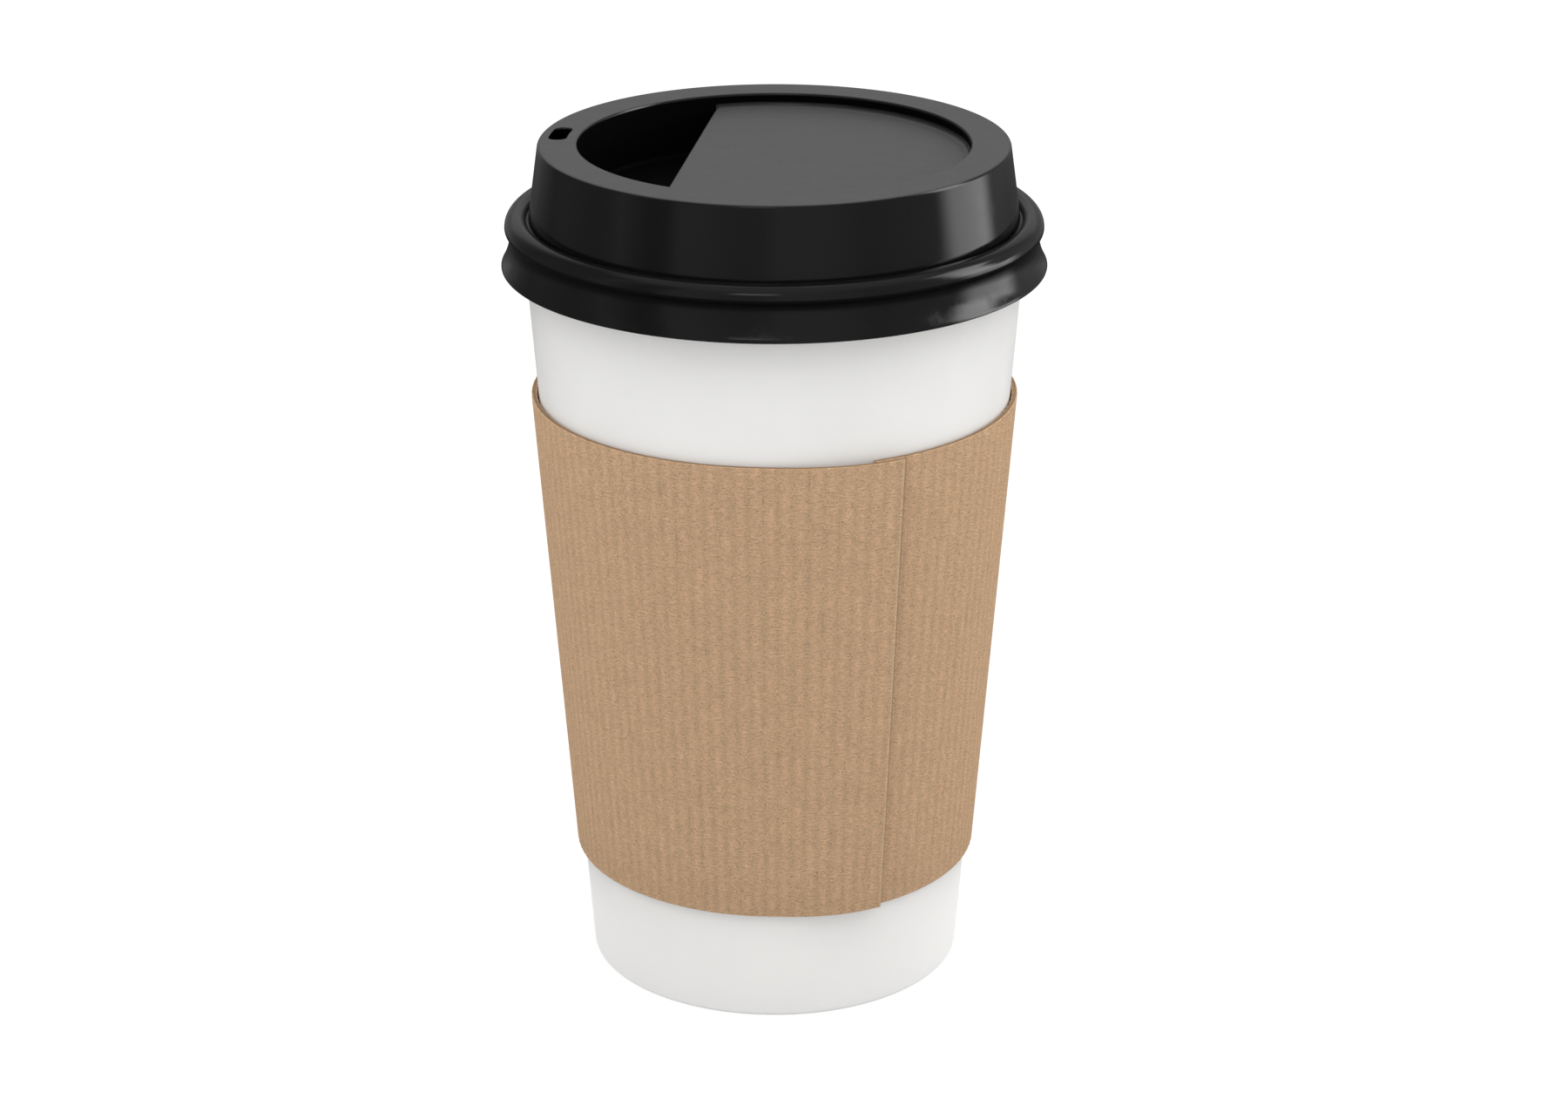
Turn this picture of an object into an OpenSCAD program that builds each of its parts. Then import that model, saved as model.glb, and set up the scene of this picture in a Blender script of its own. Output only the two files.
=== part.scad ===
// Hot drink cup with a wrapped corrugated sleeve and a thermoformed sip lid.
// Millimetres, +Z up, origin at the middle of the foot ring, sip hole on the -X side.
// Four sheets make it: the rolled side wall, the cup's bottom, the sleeve and the lid.

/* [Cup] */
// Height of the cup from the table to the top of its rolled brim
cup_height = 135.8; // [115:0.1:165]
// Outside diameter of the foot
foot_diameter = 65.4; // [58:0.1:72]
// Outside diameter of the rolled brim
brim_diameter = 88.8; // [86:0.1:94]
// Diameter of the brim's curl, seen in section
curl_diameter = 2; // [1.8:0.05:2.3]
// How far round the brim's curl is rolled, in degrees
curl_turn = 290; // [220:1:292]
// Thickness of the side wall's paperboard
wall_board = 0.45; // [0.35:0.01:0.5]
// Radius of the foot ring's edges
foot_round = 0.52; // [0.5:0.01:0.6]
// Part of the turn over which the wall's two ends overlap, in degrees
seam_angle = 10; // [6:0.5:14]
// Azimuth of the middle of that side seam, in degrees
seam_azimuth = 97; // [0:1:180]
// Height by which the pressed seam stands proud of the wall
seam_step = 0.15; // [0.05:0.01:0.18]

/* [Cup bottom] */
// Height of the drinking floor above the table
base_recess = 9; // [7:0.1:12]
// Thickness of the bottom's paperboard
base_board = 0.42; // [0.35:0.01:0.5]
// Radius where the bottom turns down into its skirt
base_round = 0.9; // [0.7:0.05:1.5]
// Thickness of the sealing film between the bottom's skirt and the wall
seal_gap = 0.04; // [0.03:0.01:0.08]
// Space between the wall's folded edge and the underside of the bottom
fold_clearance = 1.3; // [1:0.1:3]

/* [Sleeve] */
// Height of the sleeve's lower edge above the table
sleeve_bottom = 21; // [12:0.1:35]
// Height of the sleeve
sleeve_height = 84; // [50:0.1:90]
// Thickness of the sleeve's corrugated board
sleeve_board = 1; // [0.8:0.05:1.6]
// Clearance between the flute tips and the cup
sleeve_gap = 0.25; // [0.2:0.01:0.4]
// Number of flutes in one turn
flute_count = 104; // [60:1:120]
// Depth of the grooves between the flutes, on the sleeve's inner face
flute_depth = 0.1; // [0:0.01:0.3]
// Height of the ribs that the flutes press through to the outer face
rib_height = 0.1; // [0:0.01:0.2]
// Azimuth of the glued flap's free edge, in degrees
flap_azimuth = -53; // [-180:1:180]
// Overlap of the glued flap over the other end, in degrees
flap_overlap = 14; // [8:1:24]
// Part of the turn over which the flap climbs onto the other end, in degrees
flap_ramp = 8; // [5:1:14]
// Thickness of the glue between the flap and the other end
glue_gap = 0.1; // [0.05:0.01:0.2]
// Extra height to which the flap's free edge curls up
flap_lift = 0.2; // [0:0.05:0.6]

/* [Lid] */
// Height of the lid's top ring above the brim
lid_rise = 12.35; // [11:0.05:20]
// Depth to which the skirt reaches below the top of the brim
skirt_drop = 8.5; // [7.5:0.1:11]
// Thickness of the lid's plastic sheet
lid_sheet = 0.4; // [0.3:0.05:0.45]
// Clearance between the lid and the brim it sits on
seat_gap = 0.1; // [0.08:0.01:0.15]
// Clearance between the brim and the waist that passes over it
waist_gap = 0.08; // [0.06:0.01:0.15]
// Distance by which the bead over the brim stands out past the waist
bead_stand = 0.82; // [0.6:0.02:1.1]
// Distance by which the skirt's lower edge stands out past the waist
skirt_flare = 1.52; // [0.8:0.02:3]
// Slope of the dome's side, from the vertical
dome_draft = 8; // [4:0.5:14]
// Radius of the dome's upper edge
dome_round = 0.7; // [0.5:0.05:2]
// Radius at the bottom of the groove between dome and bead
groove_round = 0.15; // [0.12:0.01:0.25]
// Radius where the bead tucks in under the brim
tuck_round = 0.65; // [0.6:0.05:0.8]
// Turn of that tuck, in degrees
tuck_turn = 50; // [40:1:70]
// Radius of the corner between the tuck and the skirt
waist_round = 0.35; // [0.2:0.05:0.6]

/* [Recess and sip hole] */
// Width of the ring between the dome's edge and the round recess in the lid's top
ring_width = 6.1; // [5.2:0.1:9]
// Depth of the recess's flat stage
stage_depth = 2.5; // [1.5:0.1:4]
// Depth of the D-shaped well beside the stage
well_depth = 10.3; // [6:0.1:10.6]
// Distance of the well's straight side from the middle
well_offset = 14.3; // [6:0.1:22]
// Slope of the recess's walls, from the vertical
recess_draft = 2; // [1:0.5:6]
// Radius of the recess's upper edge
rim_round = 0.5; // [0.46:0.02:1]
// Radius between the recess's walls and floors
floor_round = 0.9; // [0.4:0.1:1.5]
// Distance of the sip hole from the recess's edge
sip_inset = 1.6; // [1.2:0.1:2.2]
// Length of the sip hole along the ring
sip_length = 8.3; // [5:0.1:12]
// Width of the sip hole across the ring
sip_width = 3.1; // [2.4:0.1:3.4]
// Radius of the sip hole's corners
sip_round = 1; // [0.3:0.05:1.15]
// Diameter of the vent in the well's floor
vent_diameter = 0.8; // [0.5:0.1:1.5]
// Distance of the vent from the recess's edge
vent_inset = 5.1; // [3.5:0.1:7]
// Azimuth of the vent, in degrees
vent_azimuth = -135; // [-140:1:-130]

/* [Hidden] */
$fn = 180;

// Largest gap between a bend and the flats that stand for it
bend_error = 0.01;
// Points along one flute
flute_points = 4;
// Angle on the bead's section at which the groove leaves it
groove_side = 165;
// Azimuth of the sip hole, above the middle of the well
sip_azimuth = 180;
// Length by which a cut runs past the face that it opens
past = 1;
// Distance below which two points of a path are one
same_point = 0.001;

// The rolled brim, and the wall that leans out by a fixed share of its height
curl_radius = curl_diameter / 2;
curl_height = cup_height - curl_radius;
curl_middle = curl_radius - wall_board / 2;
foot_radius = foot_diameter / 2;
brim_radius = brim_diameter / 2;
lean = (brim_radius - curl_diameter + wall_board - foot_radius) / curl_height;
lean_angle = atan(lean);

// The bottom's skirt lies against the wall, and the wall's fold lies against the skirt
skirt_inset = wall_board + seal_gap + base_board / 2;
fold_inset = wall_board + base_board + 2 * seal_gap + wall_board / 2;
fold_top = base_recess - base_board - fold_clearance;
foot_bend = foot_round - wall_board / 2;

// The lid's bead follows the brim's curl
brim_centre = [brim_radius - curl_radius, curl_height];
lid_top = cup_height + lid_rise;
lid_bottom = cup_height - skirt_drop;
seat_round = curl_radius + seat_gap + lid_sheet;
crest = brim_centre[1] + seat_round;
waist_radius = brim_radius + waist_gap + lid_sheet;
bead_radius = waist_radius + bead_stand;
bead_round = bead_radius - brim_centre[0];
bead_height = crest - bead_round;

// The dome's side runs up from a groove beside the bead to the edge of its flat ring
groove = on_circle(brim_centre, seat_round + groove_round, groove_side);
dome_foot = on_circle(groove, groove_round, 180 + dome_draft);
edge_height = lid_top - dome_round;
edge_climb = (edge_height - dome_foot[1]) * sin(dome_draft);
edge_radius = dome_foot[0] - (dome_round + edge_climb) / cos(dome_draft);
recess_radius = edge_radius - ring_width;

// Point on a circle about c
function on_circle(c, r, a) = c + r * [cos(a), sin(a)];

// Points of an arc about c from angle a0 to angle a1
function arc(c, r, a0, a1) =
    let (
        largest_step = sqrt(8 * bend_error / r) * 180 / PI,
        steps = max(2, ceil(abs(a1 - a0) / largest_step))
    )
    [for (i = [0:steps]) on_circle(c, r, a0 + (a1 - a0) * i / steps)];

// The path without the points that repeat the one before them
function once(path) =
    [for (i = [0:len(path) - 1])
        if (i == 0 || norm(path[i] - path[max(i - 1, 0)]) > same_point)
            path[i]];

// Unit normal to the left of the way from p to q
function left_normal(p, q) = let (d = q - p) [-d[1], d[0]] / norm(d);

// The path moved to its left by d, with mitred corners
function beside(path, d) =
    let (last = len(path) - 1)
    [for (i = [0:last])
        let (
            before = left_normal(path[max(i - 1, 0)], path[max(i, 1)]),
            after = left_normal(path[min(i, last - 1)], path[min(i + 1, last)])
        )
        path[i] + d * (before + after) / (1 + before * after)];

// Outline of a sheet between two sides of one path
function sheet(path, left, right) =
    let (a = beside(path, left), b = beside(path, -right), last = len(path) - 1)
    concat(a, [for (i = [0:last]) b[last - i]]);

// Radius at height z of the surface that lies inset below the wall's outer face
function wall_radius(z, inset) = foot_radius + lean * z - inset * sqrt(1 + lean * lean);

// Middle of the wall's sheet: up the fold, round the foot, up the wall and round the curl
function wall_path() =
    let (
        bend_height = wall_board / 2 + foot_bend,
        inner_bend = [wall_radius(bend_height, fold_inset - foot_bend), bend_height],
        outer_bend = [wall_radius(bend_height, wall_board / 2 + foot_bend), bend_height],
        curl_centre = [wall_radius(curl_height, wall_board / 2 - curl_middle), curl_height],
        curl_start = 180 - lean_angle
    )
    concat(
        [[wall_radius(fold_top, fold_inset), fold_top]],
        arc(inner_bend, foot_bend, 180 - lean_angle, 270),
        arc(outer_bend, foot_bend, 270, 360 - lean_angle),
        arc(curl_centre, curl_middle, curl_start, curl_start - curl_turn)
    );

module cup_wall() {
    seam_low = foot_round + wall_board;
    seam_high = cup_height - curl_diameter - wall_board;
    color("#f4f2ee") {
        rotate_extrude() polygon(sheet(wall_path(), wall_board / 2, wall_board / 2));
        rotate([0, 0, seam_azimuth - seam_angle / 2])
            rotate_extrude(angle = seam_angle)
                polygon([
                    [wall_radius(seam_low, wall_board / 2), seam_low],
                    [wall_radius(seam_low, -seam_step), seam_low],
                    [wall_radius(seam_high, -seam_step), seam_high],
                    [wall_radius(seam_high, wall_board / 2), seam_high]
                ]);
    }
}

// Middle of the bottom's sheet: out along the floor and down the skirt
function base_path() =
    let (
        bend = base_round - base_board / 2,
        floor_middle = base_recess - base_board / 2,
        bend_height = floor_middle - bend,
        skirt_end = wall_board + seal_gap
    )
    concat(
        [[0, floor_middle]],
        arc([wall_radius(bend_height, skirt_inset + bend), bend_height], bend, 90, -lean_angle),
        [[wall_radius(skirt_end, skirt_inset), skirt_end]]
    );

module cup_base() {
    color("#eceae5")
        rotate_extrude() polygon(sheet(base_path(), base_board / 2, base_board / 2));
}

// Wave from 0 at a flute's tip to 1 between two tips
function flute_wave(turn) = (1 - cos(turn * flute_count)) / 2;

// Smooth step from 0 to 1
function ease(t) = let (u = min(max(t, 0), 1)) u * u * (3 - 2 * u);

// Height of the wrap above the cup's own line after a turn, in degrees
function wrap_lift(turn) =
    (sleeve_board + glue_gap) * ease((turn - 360 + flap_ramp) / flap_ramp)
    + flap_lift * pow(max(turn - 360, 0) / flap_overlap, 2);

// Corner of the wrap's section at a turn, height z and depth below its outer face
function wrap_point(turn, z, depth) =
    let (
        r = wall_radius(z, -sleeve_gap - sleeve_board + depth) + wrap_lift(turn),
        a = flap_azimuth - flap_overlap + turn
    )
    [r * cos(a), r * sin(a), z];

module sleeve() {
    turns = 360 + flap_overlap;
    steps = ceil(flute_count * flute_points * turns / 360);
    sleeve_top = sleeve_bottom + sleeve_height;
    points = [for (i = [0:steps])
        let (
            turn = turns * i / steps,
            outer = rib_height * flute_wave(turn),
            inner = sleeve_board - flute_depth * flute_wave(turn)
        )
        each [
            wrap_point(turn, sleeve_bottom, outer),
            wrap_point(turn, sleeve_top, outer),
            wrap_point(turn, sleeve_top, inner),
            wrap_point(turn, sleeve_bottom, inner)
        ]];
    sides = [for (i = [0:steps - 1], k = [0:3])
        let (
            a = 4 * i + k,
            b = 4 * i + (k + 1) % 4
        )
        each [[a, b, b + 4], [a, b + 4, a + 4]]];
    last = 4 * steps;
    ends = [[3, 2, 1, 0], [last, last + 1, last + 2, last + 3]];
    color("#c8a27a")
        polyhedron(points, concat(sides, ends));
}

// Outer face of the lid: over the dome's edge, down to the groove, round the bead and
// down the flared skirt
function lid_path() =
    let (
        tuck = [bead_radius - tuck_round, bead_height],
        tuck_end = on_circle(tuck, tuck_round, -tuck_turn),
        tuck_reach = tuck_end[0] - waist_radius - waist_round * (1 - cos(tuck_turn)),
        tuck_drop = tuck_reach / tan(tuck_turn) + waist_round * sin(tuck_turn),
        waist = [waist_radius + waist_round, tuck_end[1] - tuck_drop],
        flare_drop = waist[1] - lid_bottom,
        flare_round = (flare_drop * flare_drop + skirt_flare * skirt_flare) / (2 * skirt_flare),
        flare_turn = asin(flare_drop / flare_round)
    )
    once(concat(
        [[0, lid_top]],
        arc([edge_radius, edge_height], dome_round, 90, dome_draft),
        arc(groove, groove_round, 180 + dome_draft, 180 + groove_side),
        arc(brim_centre, seat_round, groove_side, 90),
        arc([brim_centre[0], bead_height], bead_round, 90, 0),
        arc(tuck, tuck_round, 0, -tuck_turn),
        arc(waist, waist_round, 180 - tuck_turn, 180),
        arc([waist_radius + flare_round, waist[1]], flare_round, 180, 180 + flare_turn)
    ));

// Section of a pocket out to its edge, from a face down to a floor, grown by the sheet's
// thickness where asked and carried up past the lid's top by over
function pocket_section(start, edge, face_height, floor_height, grow, over) =
    let (
        rim_height = face_height - rim_round,
        bend_height = floor_height + floor_round,
        side = rim_round / cos(recess_draft),
        rim = [edge - rim_round * tan(recess_draft) + side, rim_height],
        wall_foot = edge - (face_height - bend_height) * tan(recess_draft),
        bend = [wall_foot - floor_round / cos(recess_draft), bend_height]
    )
    concat(
        [[start, floor_height - grow]],
        arc(bend, floor_round + grow, -90, -recess_draft),
        arc(rim, rim_round - grow, 180 - recess_draft, 90),
        [[rim[0], lid_top + over], [start, lid_top + over]]
    );

// The round stage and the D-shaped well that goes deeper on one side of it
module recess(grow, over) {
    stage_height = lid_top - stage_depth;
    well_height = lid_top - well_depth;
    reach = recess_radius + past;
    rotate_extrude()
        polygon(pocket_section(0, recess_radius, lid_top, stage_height, grow, over));
    intersection() {
        rotate_extrude()
            polygon(pocket_section(0, recess_radius, lid_top, well_height, grow, over));
        rotate([90, 0, 0])
            linear_extrude(2 * reach, center = true)
                polygon(pocket_section(-reach, -well_offset, stage_height, well_height, grow, over));
    }
}

// Point at radius r and azimuth a
function polar(r, a) = on_circle([0, 0], r, a);

// Outline of a slot along the lid's ring, with its middle on +X and round corners
function sip_outline() =
    let (
        inner = recess_radius + sip_inset,
        outer = inner + sip_width,
        half_turn = sip_length / (inner + outer) * 180 / PI,
        inner_corner = inner + sip_round,
        outer_corner = outer - sip_round,
        inner_turn = half_turn - asin(sip_round / inner_corner),
        outer_turn = half_turn - asin(sip_round / outer_corner),
        outline = once(concat(
            arc([0, 0], inner, inner_turn, -inner_turn),
            arc(polar(inner_corner, -inner_turn), sip_round, 180 - inner_turn, 270 - half_turn),
            arc(polar(outer_corner, -outer_turn), sip_round, 270 - half_turn, 360 - outer_turn),
            arc([0, 0], outer, -outer_turn, outer_turn),
            arc(polar(outer_corner, outer_turn), sip_round, outer_turn, 90 + half_turn),
            arc(polar(inner_corner, inner_turn), sip_round, 90 + half_turn, 180 + inner_turn)
        ))
    )
    [for (i = [1:len(outline) - 1]) outline[i]];

module lid() {
    color("#1d1d1f")
        difference() {
            union() {
                rotate_extrude() polygon(sheet(lid_path(), 0, lid_sheet));
                recess(lid_sheet, 0);
            }
            recess(0, past);
            rotate([0, 0, sip_azimuth])
                translate([0, 0, lid_top - lid_sheet - past])
                    linear_extrude(lid_sheet + 2 * past)
                        polygon(sip_outline());
            rotate([0, 0, vent_azimuth])
                translate([recess_radius - vent_inset, 0, lid_top - well_depth - lid_sheet - past])
                    cylinder(d = vent_diameter, h = lid_sheet + 2 * past);
        }
}

cup_wall();
cup_base();
sleeve();
lid();
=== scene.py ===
import math

import bmesh
import bpy
import numpy as np
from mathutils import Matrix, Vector


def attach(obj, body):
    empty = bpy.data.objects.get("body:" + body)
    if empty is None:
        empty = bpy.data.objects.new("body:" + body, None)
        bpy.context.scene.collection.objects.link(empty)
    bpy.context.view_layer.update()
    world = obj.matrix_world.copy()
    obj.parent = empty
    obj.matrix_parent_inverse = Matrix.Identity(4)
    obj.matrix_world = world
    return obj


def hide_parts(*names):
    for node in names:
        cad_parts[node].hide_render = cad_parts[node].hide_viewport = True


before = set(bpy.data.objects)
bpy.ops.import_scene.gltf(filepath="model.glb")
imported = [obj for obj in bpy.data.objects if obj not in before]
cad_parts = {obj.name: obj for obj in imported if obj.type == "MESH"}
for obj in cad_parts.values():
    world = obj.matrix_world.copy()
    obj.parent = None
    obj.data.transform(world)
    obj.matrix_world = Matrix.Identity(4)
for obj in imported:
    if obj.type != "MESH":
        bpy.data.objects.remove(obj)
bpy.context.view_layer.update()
print("frame in:", sorted(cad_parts))

mm = 0.001


# A bend: centre plus radius times (cos, sin), the angle going evenly from one end to the other
def bend(centre, radius, fromAngle, toAngle, pieces):
    angle = np.radians(np.linspace(fromAngle, toAngle, pieces + 1))
    return np.column_stack([centre[0] + radius * np.cos(angle), centre[1] + radius * np.sin(angle)])


# Bends joined by straights; each straight keeps a point a short way in from its two ends,
# so that the shading of a flat part stays flat up to the bend
def joined(bends, hold=0.08):
    path = [bends[0]]
    for before, after in zip(bends, bends[1:]):
        start, end = before[-1], after[0]
        length = np.linalg.norm(end - start)
        if length > 3 * hold:
            share = np.array([[hold], [length - hold]]) / length
            path.append(start + (end - start) * share)
        path.append(after)
    path = np.vstack(path)
    moved = np.linalg.norm(np.diff(path, axis=0), axis=1) > 1e-5
    return path[np.r_[True, moved]]


# The path moved to its left by a distance: each point goes along the mean of the two
# normals beside it, lengthened at the corner
def beside(path, distance):
    step = np.diff(path, axis=0)
    normal = np.column_stack([-step[:, 1], step[:, 0]])
    normal /= np.linalg.norm(normal, axis=1)[:, None]
    before = np.vstack([normal[:1], normal])
    after = np.vstack([normal, normal[-1:]])
    return path + distance * (before + after) / (1 + (before * after).sum(1))[:, None]


# A section turned about Z: (r cos a, r sin a, z), rows along the section, columns round
def turned(path, azimuth):
    radius, height = path[:, 0][:, None], path[:, 1][:, None]
    return np.stack([radius * np.cos(azimuth), radius * np.sin(azimuth), height + 0 * azimuth], -1)


# Smooth step from 0 to 1: u * u * (3 - 2 u)
def eased(value):
    share = np.clip(value, 0, 1)
    return share * share * (3 - 2 * share)


# Share that goes up from 0 to 1 past low and back down to 0 past high, each over its width
def within(value, low, rise, high, fall):
    return eased((value - low) / rise) * (1 - eased((value - high) / fall))


# Faces of a grid: each takes four neighbours, and a ring also joins its last column to its first
def gridFaces(rows, columns, ring, skip=None):
    row = np.arange(rows - 1)[:, None]
    column = np.arange(columns if ring else columns - 1)[None, :]
    a = row * columns + column
    b = row * columns + (column + 1) % columns
    faces = np.stack([a, b, b + columns, a + columns], -1)
    if skip is None:
        return faces.reshape(-1, 4)
    keep = np.ones(faces.shape[:2], bool)
    for r0, r1, c0, c1 in skip:
        keep[r0:r1, c0:c1] = False
    return faces[keep]


# One mesh out of several grids, in millimetres: they are put side by side, welded where
# they meet, and turned to face outwards; edges past sharpAngle stay crisp
def weldedPiece(name, patches, material, body, sharpAngle, uvs=None, caps=()):
    points, faces, start = [], [], 0
    for grid, ring, skip in patches:
        rows, columns = grid.shape[:2]
        points.append(grid.reshape(-1, 3))
        faces.append(gridFaces(rows, columns, ring, skip) + start)
        start += rows * columns
    points = np.vstack(points) * mm
    faces = [tuple(f) for f in np.vstack(faces).tolist()] + [tuple(c) for c in caps]
    mesh = bpy.data.meshes.new(name)
    mesh.from_pydata(points.tolist(), [], faces)
    if uvs is not None:
        corner = np.zeros(len(mesh.loops), np.int32)
        mesh.loops.foreach_get("vertex_index", corner)
        layer = mesh.uv_layers.new(name="wrap")
        layer.data.foreach_set("uv", uvs[corner].astype(np.float32).ravel())
    work = bmesh.new()
    work.from_mesh(mesh)
    bmesh.ops.remove_doubles(work, verts=work.verts, dist=1e-6)
    bmesh.ops.dissolve_degenerate(work, edges=work.edges, dist=1e-7)
    bmesh.ops.recalc_face_normals(work, faces=work.faces)
    openEdges = sum(1 for e in work.edges if len(e.link_faces) != 2)
    triangles = sum(len(f.verts) - 2 for f in work.faces)
    volume = work.calc_volume(signed=True)
    work.to_mesh(mesh)
    work.free()
    mesh.polygons.foreach_set("use_smooth", np.ones(len(mesh.polygons), bool))
    mesh.set_sharp_from_angle(angle=math.radians(sharpAngle))
    mesh.materials.append(material)
    piece = bpy.data.objects.new(name, mesh)
    bpy.context.scene.collection.objects.link(piece)
    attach(piece, body)
    print(f"{name}: {triangles} triangles, {openEdges} open edges, {volume * 1e9:.0f} mm3")
    return piece


# A new material with its nodes and its shader
def startMaterial(name):
    material = bpy.data.materials.new(name)
    material.use_nodes = True
    return material, material.node_tree, material.node_tree.nodes["Principled BSDF"]


# Adds a node; each input is either a number or the socket that feeds it
def addNode(tree, kind, inputs=None, **settings):
    node = tree.nodes.new("ShaderNode" + kind)
    for key, value in settings.items():
        setattr(node, key, value)
    feed(tree, node, inputs or {})
    return node


def feed(tree, node, inputs):
    for key, value in inputs.items():
        if isinstance(value, bpy.types.NodeSocket):
            tree.links.new(value, node.inputs[key])
        else:
            node.inputs[key].default_value = value


def mathNode(tree, operation, first, second=0.0, third=0.0):
    node = addNode(tree, "Math", {0: first, 1: second, 2: third}, operation=operation)
    return node.outputs[0]


# Noise on stretched coordinates; stretch counts blobs for each unit along each axis
def noiseOn(tree, coordinates, stretch, detail=3.0, roughness=0.5, shift=(0, 0, 0)):
    place = addNode(tree, "Mapping", {"Vector": coordinates, "Location": shift, "Scale": stretch})
    noise = addNode(tree, "TexNoise", {"Vector": place.outputs[0], "Scale": 1.0,
                                       "Detail": detail, "Roughness": roughness})
    return noise.outputs["Fac"]


# Straight ramp of a value from low..high to toLow..toHigh, level beyond both ends
def rampOf(tree, value, low, high, toLow=0.0, toHigh=1.0):
    node = addNode(tree, "MapRange", {"Value": value, "From Min": low, "From Max": high,
                                      "To Min": toLow, "To Max": toHigh}, clamp=True)
    return node.outputs[0]


def mixColour(tree, share, first, second):
    node = addNode(tree, "Mix", {0: share, 6: first, 7: second}, data_type="RGBA")
    return node.outputs[2]


kraft = {
    "colour": (0.696, 0.459, 0.278, 1),
    "darkFibre": (0.327, 0.203, 0.116, 1),
    "lightFibre": (0.914, 0.611, 0.379, 1),
    "darkSpeck": (0.160, 0.085, 0.040, 1),
    "lightSpeck": (0.840, 0.680, 0.500, 1),
    "cutEdgeHighlight": (0.800, 0.600, 0.410, 1),
    "evenness": 0.45,
    "fineInValley": 0.60,
    "fineOnRib": 0.32,
    "ribShade": 0.065,
    "cloudShade": 0.03,
    "blotchShade": 0.04,
    "grainShade": 0.07,
    "creaseShade": 0.14,
    "darkSpeckShare": 0.7,
    "lightSpeckShare": 0.55,
    "cutEdgeHighlightShare": 0.5,
    "cutEdgeHighlightReach": 0.20,
    "paintedShadowShare": 0.6,
    "paintedShadowLine": (2.0, 2.16, 2.36),
    "roughness": 0.82,
    "specular": 0.02,
    "bump": 1.0,
    "relief": 0.00088,
}
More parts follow.
